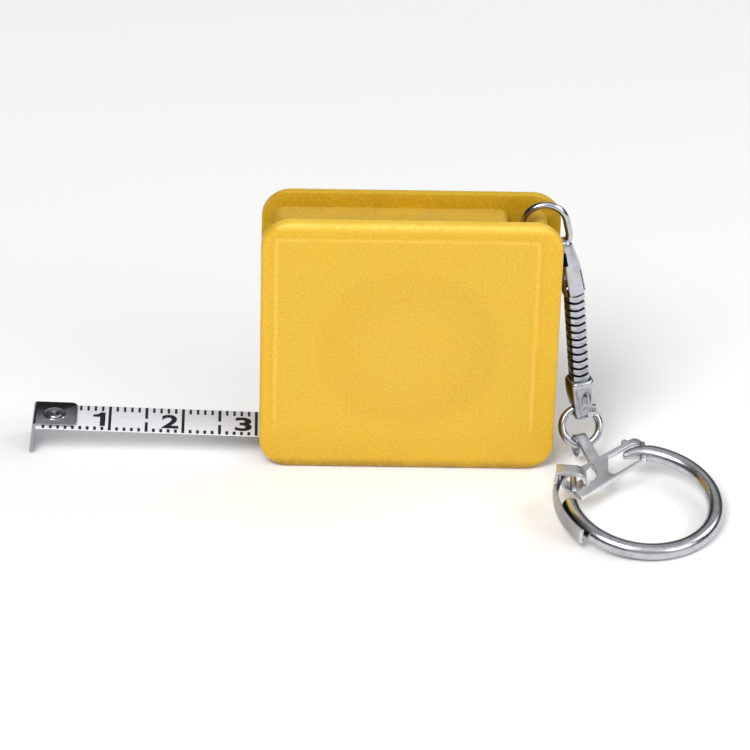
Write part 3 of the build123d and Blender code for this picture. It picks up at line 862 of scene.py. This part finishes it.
class TAPEMEASURE_OT_caps(bpy.types.Operator):
    """Add the bullet-shaped upper cap and the grooved lower cap"""
    bl_idname = "tapemeasure.caps"
    bl_label = "End caps"

    def execute(self, context):
        chain = context.scene.chain_look
        side = chain.side / MM + 2 * (chain.cap_fit + chain.cap_wall)
        bore = side - 2 * chain.cap_wall
        start = chain_start(chain)
        eye = joint_at("cap_swing")
        full = (start - eye).length / MM + chain.crown
        # height over the whole, width and depth over the side
        bullet = ((0, 1, 1), (0.2, 1, 1), (0.4, 1, 1), (0.5, 0.96, 0.97), (0.58, 0.91, 0.93),
                  (0.66, 0.85, 0.88), (0.74, 0.78, 0.82), (0.82, 0.71, 0.76), (0.89, 0.65, 0.7),
                  (0.94, 0.6, 0.66), (0.975, 0.53, 0.59), (0.993, 0.45, 0.51), (1, 0.36, 0.42))
        sections = [(full * z, side * w, side * d) for z, w, d in bullet]
        cap = stacked(sections, 0.42, 8)
        cut(cap, block((0, 0, 1.2), (bore, bore, 4.6)))
        place = hanging(start, (start - eye).normalized())
        near = place.inverted() @ eye
        along = (place.inverted().to_3x3() @ joint_axis("cap_swing")).normalized()
        cut(cap, rod(near - along * 6, near + along * 6, chain.loop_wire + 0.12, 32))
        slot = Vector((-side / 2 + 0.5, -side * 0.42, chain.slot_height))
        cut(cap, dimple(slot, (0.52, 0.62, 1.2)))
        soften(0.12, 3, 42)
        # the faces inside the oblong eye get the painted shade of a dark hole
        finished(cap, "upper_cap", place, "upper_cap", "chain", ("top_end_cap",), 45,
                 lambda c, n: (c - slot).length < 1.2 and n.dot(slot - c) > 0.1)

        rows = [(-chain.lip, 0.60), (-chain.lip + 0.18, 0.74), (-0.6, 0.79), (0.2, 0.84), (0.9, 0.90),
                (1.5, 0.97), (2.1, 1.05), (2.7, 1.10), (3.6, 1.12), (chain.lower_length - 0.35, 1.11),
                (chain.lower_length - 0.1, 1.05), (chain.lower_length, 0.95)]
        cap = stacked([(z, side * k, side * k) for z, k in rows], 0.26)
        cut(cap, block((0, 0, chain.lower_length), (bore, bore, 5.2)))
        cut(cap, dimple((0.28, -side * 0.58, 1.75), (0.72, 0.72, 1.75)))
        place = hanging(joint_at("jump_ring_swing"), chain_down())
        low, top = joint_at("latch_swing"), joint_at("jump_ring_swing")
        bend = (top - low).length / 2
        jump = basis((low + top) / 2, (1, 0, 0), (top - low))
        fresh()
        bpy.ops.mesh.primitive_torus_add(major_segments=64, minor_segments=20, major_radius=bend / MM,
                                         minor_radius=chain.jump_wire + 0.4)
        eye_tool = context.object
        eye_tool.matrix_world = place.inverted() @ jump
        cut(cap, eye_tool)
        soften(0.1, 3, 42)
        finished(cap, "lower_cap", place, "lower_cap", "chain", ("bottom_end_cap",), 45)
        return {"FINISHED"}


def socket_tool(radius, height):
    """A ball with its upper half widened and drawn up, to shape one end of a link."""
    fresh()
    bpy.ops.mesh.primitive_uv_sphere_add(segments=48, ring_count=32, radius=radius, location=(0, 0, height))
    place_in_mesh()
    choose("VERT", lambda p: p.z > height - NEAR)
    bpy.ops.transform.resize(value=(1.3, 1.3, 1), center_override=(0, 0, height))
    bpy.ops.transform.translate(value=(0, 0, 4))
    bpy.ops.object.mode_set(mode="OBJECT")
    return bpy.context.object


class TAPEMEASURE_OT_links(bpy.types.Operator):
    """Add the twelve links of the snake chain"""
    bl_idname = "tapemeasure.links"
    bl_label = "Snake chain"

    def execute(self, context):
        chain = context.scene.chain_look
        side = chain.side / MM
        ball = side * chain.ball_share
        first, second = joint_at("link_bend_01"), joint_at("link_bend_02")
        pitch = (second - first).length / MM
        owners = frame["record"]["behaviour"]["bodies"].items()
        bodies = {node: body for body, nodes in owners for node in nodes}
        link = block((0, 0, 0), (side, side, 6))
        choose("EDGE", lambda a, b: abs(a.z - b.z) > 1)
        bpy.ops.mesh.bevel(offset=0.3, segments=4, affect="EDGES")
        cut(link, socket_tool(ball, 0), "INTERSECT")
        cut(link, socket_tool(ball + chain.gap, pitch))
        soften(0.07, 2, 40)
        shape = link.data
        for count, node in enumerate(LINKS):
            fresh()
            copy = bpy.data.objects.new(node, shape.copy())
            context.scene.collection.objects.link(copy)
            place = hanging(first + chain_down() * pitch * MM * count, chain_down())
            # each link's end faces, where it meets its neighbours, get the painted shade
            finished(copy, node + "_metal", place, bodies[node], "chain", (node,), 32,
                     lambda c, n: abs(n.z) > 0.3 and max(abs(c.x), abs(c.y)) < side / 2 - 0.08)
        bpy.data.objects.remove(link)
        return {"FINISHED"}


class TAPEMEASURE_OT_jump_ring(bpy.types.Operator):
    """Add the sprung-open jump ring"""
    bl_idname = "tapemeasure.jump_ring"
    bl_label = "Jump ring"

    def execute(self, context):
        chain = context.scene.chain_look
        low, top = joint_at("latch_swing"), joint_at("jump_ring_swing")
        bend = (top - low).length / 2 / MM
        fresh()
        bpy.ops.mesh.primitive_torus_add(major_segments=72, minor_segments=20, major_radius=bend,
                                         minor_radius=chain.jump_wire)
        ring = context.object
        choose("FACE", lambda c, n: chain.jump_open < turn(c) < 90)
        bpy.ops.mesh.delete(type="FACE")
        choose("VERT", lambda p: abs(p.x) < NEAR and p.y > 0)
        bpy.ops.mesh.extrude_region_move(TRANSFORM_OT_translate={"value": (chain.jump_tail, 0, 0)})
        bpy.ops.mesh.edge_face_add()
        choose("VERT", lambda p: abs(turn(p) - chain.jump_open) < 2.1 and math.hypot(p.x, p.y) < bend * 1.4)
        bpy.ops.mesh.edge_face_add()
        settle()
        soften(0.12, 3, 50)
        finished(ring, "jump_ring_wire", basis((low + top) / 2, (1, 0, 0), top - low), "jump",
                 "wire", ("jump_ring",), 45)
        return {"FINISHED"}


class TAPEMEASURE_OT_latch(bpy.types.Operator):
    """Add the latch plate with its round ends and the strap under it"""
    bl_idname = "tapemeasure.latch"
    bl_label = "Latch plate and strap"

    def execute(self, context):
        ring = context.scene.ring_look
        place = ring_place(ring)
        pin = place.inverted() @ joint_at("ring_hinge")
        clasp_pin = place.inverted() @ joint_at("clasp_hinge")
        left, right, middle = clasp_pin.x, pin.x, -5.15
        near_edge, far_edge, near_bar, far_bar, cross = 2.15, 8.45, 1.4, 1.1, 0.7
        pin_low, pin_high, clasp_low, clasp_high = 7.9, 11.7, 0.7, 4.85
        nose, ear_x, shoulder = -8.2, -1.9, right - 1.3

        def low(x):
            """Near edge of the plate."""
            return near_edge + ring.slope * (x - middle)

        def high(x):
            """Far edge of the plate."""
            return far_edge + ring.slope * (x - middle)

        ear = arc((ear_x, high(ear_x) + 0.2), 0.45, 30, 240, 14)
        tip = [(right, 11.3), (right - 0.08, 11.75), (right - 0.32, 12.1), (right - 0.75, 12.3)]
        outline = [(left, clasp_low), (nose, low(nose)), (right, pin_low)] + tip + [
            (shoulder, high(shoulder))] + ear + [(left, high(left))]

        bar_left, bar_right = middle - cross, middle + cross
        near_end, far_end = bar_left - cross - 0.6, bar_left - cross - 0.8
        mid_y = (high(bar_left) - far_bar + low(bar_left) + near_bar) / 2
        half_y = (high(bar_left) - far_bar - low(bar_left) - near_bar) / 2
        turns = [math.radians(a) for a in range(-80, 81, 8)]
        bow = [(bar_left - 1.15 * (1 - math.cos(a)), mid_y + half_y * 1.05 * math.sin(a)) for a in turns]
        left_window = [(left, 1.35), (near_end, low(near_end) + near_bar)] + bow + [
            (far_end, high(far_end) - far_bar), (left, high(left) - far_bar)]

        near_x, far_x = bar_right + 0.75, bar_right + 0.7
        near_turn = arc((near_x, low(near_x) + near_bar + 0.65), 0.7, 165, 285, 6)
        far_turn = arc((far_x, high(far_x) - far_bar - 0.7), 0.6, 105, 195, 6)
        open_end = [(right, 8.5), (right, 11.45), (shoulder, high(shoulder) - far_bar)]
        right_window = near_turn + open_end + far_turn

        plate = stamped([outline, left_window, right_window], ring.plate, 0.12)
        bars = [rod((x, start, 0), (x, end, 0), ring.pin)
                for x, start, end in ((right, pin_low, pin_high), (left, clasp_low, clasp_high))]
        for bar in bars:
            take(bar)
            soften(0.15, 3, 50)
        plate = joined(plate, *bars)
        finished(plate, "latch_metal", place, "latch", "sheet", ("latch_plate",), 40)

        curl_at = place.inverted() @ joint_at("latch_swing")
        tail = Vector((middle, 5.6, 0)) - Vector((curl_at.x, curl_at.y, 0))
        middle_line = ring.strap_curl + ring.strap / 2
        points = [(tail.length, middle_line)]
        points += arc((0, 0), middle_line, 90, 90 + 318, 30)
        points += [(tail.length - 1.3, middle_line - ring.strap - 0.02)]
        strap = sheet_strip(points, -ring.strap_width / 2, ring.strap_width / 2, 4)
        thicken(ring.strap, 0.06)
        x = tail.normalized()
        turned_frame = place @ Matrix.Translation(curl_at) @ Matrix((
            (x.x, -x.y, 0, 0), (x.y, x.x, 0, 0), (0, 0, 1, 0), (0, 0, 0, 1)))
        finished(strap, "strap_metal", turned_frame, "latch", "sheet",
                 ("connector_strap",), 40)
        return {"FINISHED"}


class TAPEMEASURE_OT_key_ring(bpy.types.Operator):
    """Add the thick key ring with its tapered end"""
    bl_idname = "tapemeasure.key_ring"
    bl_label = "Key ring"

    def execute(self, context):
        ring = context.scene.ring_look
        place = ring_place(ring)
        radius = ring.radius / MM
        fresh()
        bpy.ops.mesh.primitive_torus_add(major_segments=180, minor_segments=32, major_radius=radius,
                                         minor_radius=ring.wire)
        wire = context.object
        taper_start, hinge_end, free_end = 80, 104, 188
        choose("FACE", lambda c, n: hinge_end < turn(c) < free_end)
        bpy.ops.mesh.delete(type="FACE")
        for angle in range(taper_start + 2, hinge_end + 1, 2):
            along = (angle - taper_start) / (hinge_end - taper_start)
            shrink = 1 - 0.56 * along ** 1.4
            inward = 1 - 0.08 * along ** 2
            a = math.radians(angle)
            center = Vector((math.cos(a), math.sin(a), 0)) * radius
            choose("VERT", lambda p: abs(turn(p) - angle) < 0.5)
            bpy.ops.transform.resize(value=(shrink, shrink, shrink), center_override=center)
            bpy.ops.transform.translate(value=center * (inward - 1))
        choose("VERT", lambda p: hinge_end - 0.5 < turn(p) < hinge_end + 2)
        bpy.ops.mesh.edge_face_add()
        choose("VERT", lambda p: abs(turn(p) - free_end) < 0.5)
        bpy.ops.mesh.edge_face_add()
        settle()
        soften(0.3, 5, 50)
        pin = place.inverted() @ joint_at("ring_hinge")
        cut(wire, rod((pin.x, pin.y - 3, 0), (pin.x, pin.y + 3, 0), ring.pin + 0.05))
        finished(wire, "key_ring_wire", place, "ring", "ring", ("key_ring",), 45)
        return {"FINISHED"}


class TAPEMEASURE_OT_clasp(bpy.types.Operator):
    """Add the sheet clasp that closes the ring"""
    bl_idname = "tapemeasure.clasp"
    bl_label = "Ring clasp"

    def execute(self, context):
        ring = context.scene.ring_look
        place = ring_place(ring)
        pin = place.inverted() @ joint_at("clasp_hinge")
        t = ring.clasp
        wall = ring.radius / MM + ring.wire + ring.clasp_gap + t / 2
        low, high, head_low, head_high = -0.55, 1.5, 2.0, 3.85
        first, shoulder, notch_end, sweep = 159, 172, 181, 65.5
        rim = [(wall - 0.62, low - t / 2), (wall - 0.3, low - t / 2), (wall - 0.1, low - 0.1),
               (wall, low + 0.3), (wall, high - 0.3), (wall - 0.03, high)]
        trough = turned(rim, math.radians(first), math.radians(sweep), 30)
        choose("VERT", lambda p: turn(p) < shoulder and p.z > 0.5)
        bpy.ops.transform.translate(value=(0, 0, 0.1))
        choose("VERT", lambda p: shoulder < turn(p) < notch_end and p.z > 0.5)
        bpy.ops.transform.translate(value=(0, 0, -0.75))
        thicken(t, 0.08)

        center = (pin.x, 0.5)
        mid = ring.clasp_curl + t / 2
        arm_end = -math.sqrt(wall ** 2 - head_low ** 2)
        curl = [(arm_end, center[1] + mid)] + arc(center, mid, 90, -235, 34)
        head = sheet_strip(curl, head_low, head_high, 4)
        thicken(t, 0.08)

        def inner_side(c, n):
            """Faces of the wall that look toward the ring, which get the painted shade of the groove."""
            return c.y < 1.5 and c.x * n.x + c.y * n.y < -0.5 * wall and math.hypot(c.x, c.y) > wall - 0.5

        clasp = joined(trough, head)
        finished(clasp, "clasp_metal", place, "clasp", "sheet", ("ring_clasp",), 40, inner_side)
        return {"FINISHED"}


class TAPEMEASURE_OT_stage(bpy.types.Operator):
    """Add the floor, the soft lights, the world and the camera"""
    bl_idname = "tapemeasure.stage"
    bl_label = "Stage"

    def execute(self, context):
        look = context.scene.stage_look
        fresh()
        bpy.ops.mesh.primitive_plane_add(size=4.0, location=(0, 0, CAD_BOX[0].z))
        floor = context.object
        floor.name = "floor"
        r = Recipe("floor_paper")
        grain = r.noise(r.place(), 0.02, 2.0)
        floor.data.materials.append(r.surface(
            Base_Color=r.mix(grain * 0.2, tuple(look.floor), paint(246, 246, 247)), Roughness=0.9))

        target = Vector((0, 0, 0.01))
        # name, place, side and watts of each square soft light
        for name, place, side, watts in (("key_light", (-0.25, -0.45, 0.65), 0.4, 4.6),
                                         ("fill_light", (0.5, -0.35, 0.35), 0.35, 0.9),
                                         ("right_light", (0.6, 0.15, 0.5), 0.3, 1.1)):
            light = bpy.data.lights.new(name, "AREA")
            light.shape, light.size, light.size_y, light.energy = "RECTANGLE", side, side, watts
            lamp = bpy.data.objects.new(name, light)
            context.scene.collection.objects.link(lamp)
            lamp.location = place
            lamp.rotation_euler = (target - Vector(place)).to_track_quat("-Z", "Y").to_euler()

        w = Recipe("studio", world=True)
        direction = w.node("ShaderNodeTexCoord", out="Generated")
        x, y, z = w.parts(direction)
        left = x.step(-0.1, -0.5)
        above = z.step(0.42, 0.8) * (1 - left * 0.93)
        front = (z * 0.5 - y * 0.8 + x * 0.15).step(0.35, 0.8) * (1 - left * 0.8)
        level = above * 0.5 + front * 0.42 + 0.03
        shade = w.node("ShaderNodeBackground", None, {"Color": (1, 1, 1, 1), "Strength": level})
        w.node("ShaderNodeOutputWorld", None, {"Surface": shade})
        context.scene.world = w.owner

        right = Vector((0.99968, -0.01023, 0.02295))
        up = Vector((-0.01373, 0.54240, 0.84001))
        camera = bpy.data.cameras.new("camera")
        camera.lens, camera.sensor_width, camera.sensor_fit = look.lens, 36.0, "HORIZONTAL"
        camera.clip_start, camera.clip_end = 0.01, 20.0
        camera.dof.use_dof = False
        holder = bpy.data.objects.new("camera", camera)
        context.scene.collection.objects.link(holder)
        holder.matrix_world = Matrix.Translation(Vector(look.camera_place)) @ Matrix(
            (right, up, right.cross(up))).transposed().to_4x4()
        context.scene.camera = holder
        context.scene.view_settings.view_transform = "Standard"
        return {"FINISHED"}


class TAPEMEASURE_PT_panel(bpy.types.Panel):
    """Sidebar list of the pieces"""
    bl_idname = "TAPEMEASURE_PT_panel"
    bl_label = "Tape measure"
    bl_space_type = "VIEW_3D"
    bl_region_type = "UI"
    bl_category = "Tape measure"

    def draw(self, context):
        for look in LOOKS:
            box = self.layout.box()
            for name in LOOKS[look].__annotations__:
                box.prop(getattr(context.scene, look), name)
        for operator in OPERATORS:
            self.layout.operator(operator.bl_idname)


LOOKS = {"case_look": CaseLook, "tape_look": TapeLook, "hook_look": HookLook, "chain_look": ChainLook,
         "ring_look": RingLook, "stage_look": StageLook}
OPERATORS = (TAPEMEASURE_OT_case, TAPEMEASURE_OT_tape, TAPEMEASURE_OT_hook, TAPEMEASURE_OT_loop,
             TAPEMEASURE_OT_caps, TAPEMEASURE_OT_links, TAPEMEASURE_OT_jump_ring, TAPEMEASURE_OT_latch,
             TAPEMEASURE_OT_key_ring, TAPEMEASURE_OT_clasp, TAPEMEASURE_OT_stage)


def register():
    """Registers the sizes, operators and panel."""
    for group in LOOKS.values():
        bpy.utils.register_class(group)
    for name, group in LOOKS.items():
        setattr(bpy.types.Scene, name, PointerProperty(type=group))
    for operator in OPERATORS:
        bpy.utils.register_class(operator)
    bpy.utils.register_class(TAPEMEASURE_PT_panel)


def unregister():
    """Takes them away again."""
    bpy.utils.unregister_class(TAPEMEASURE_PT_panel)
    for operator in reversed(OPERATORS):
        bpy.utils.unregister_class(operator)
    for name in LOOKS:
        delattr(bpy.types.Scene, name)
    for group in reversed(list(LOOKS.values())):
        bpy.utils.unregister_class(group)


def main():
    """Builds the looks round the frame."""
    register()
    for operator in OPERATORS:
        getattr(bpy.ops.tapemeasure, operator.bl_idname.split(".")[1])()


if __name__ == "__main__":
    main()
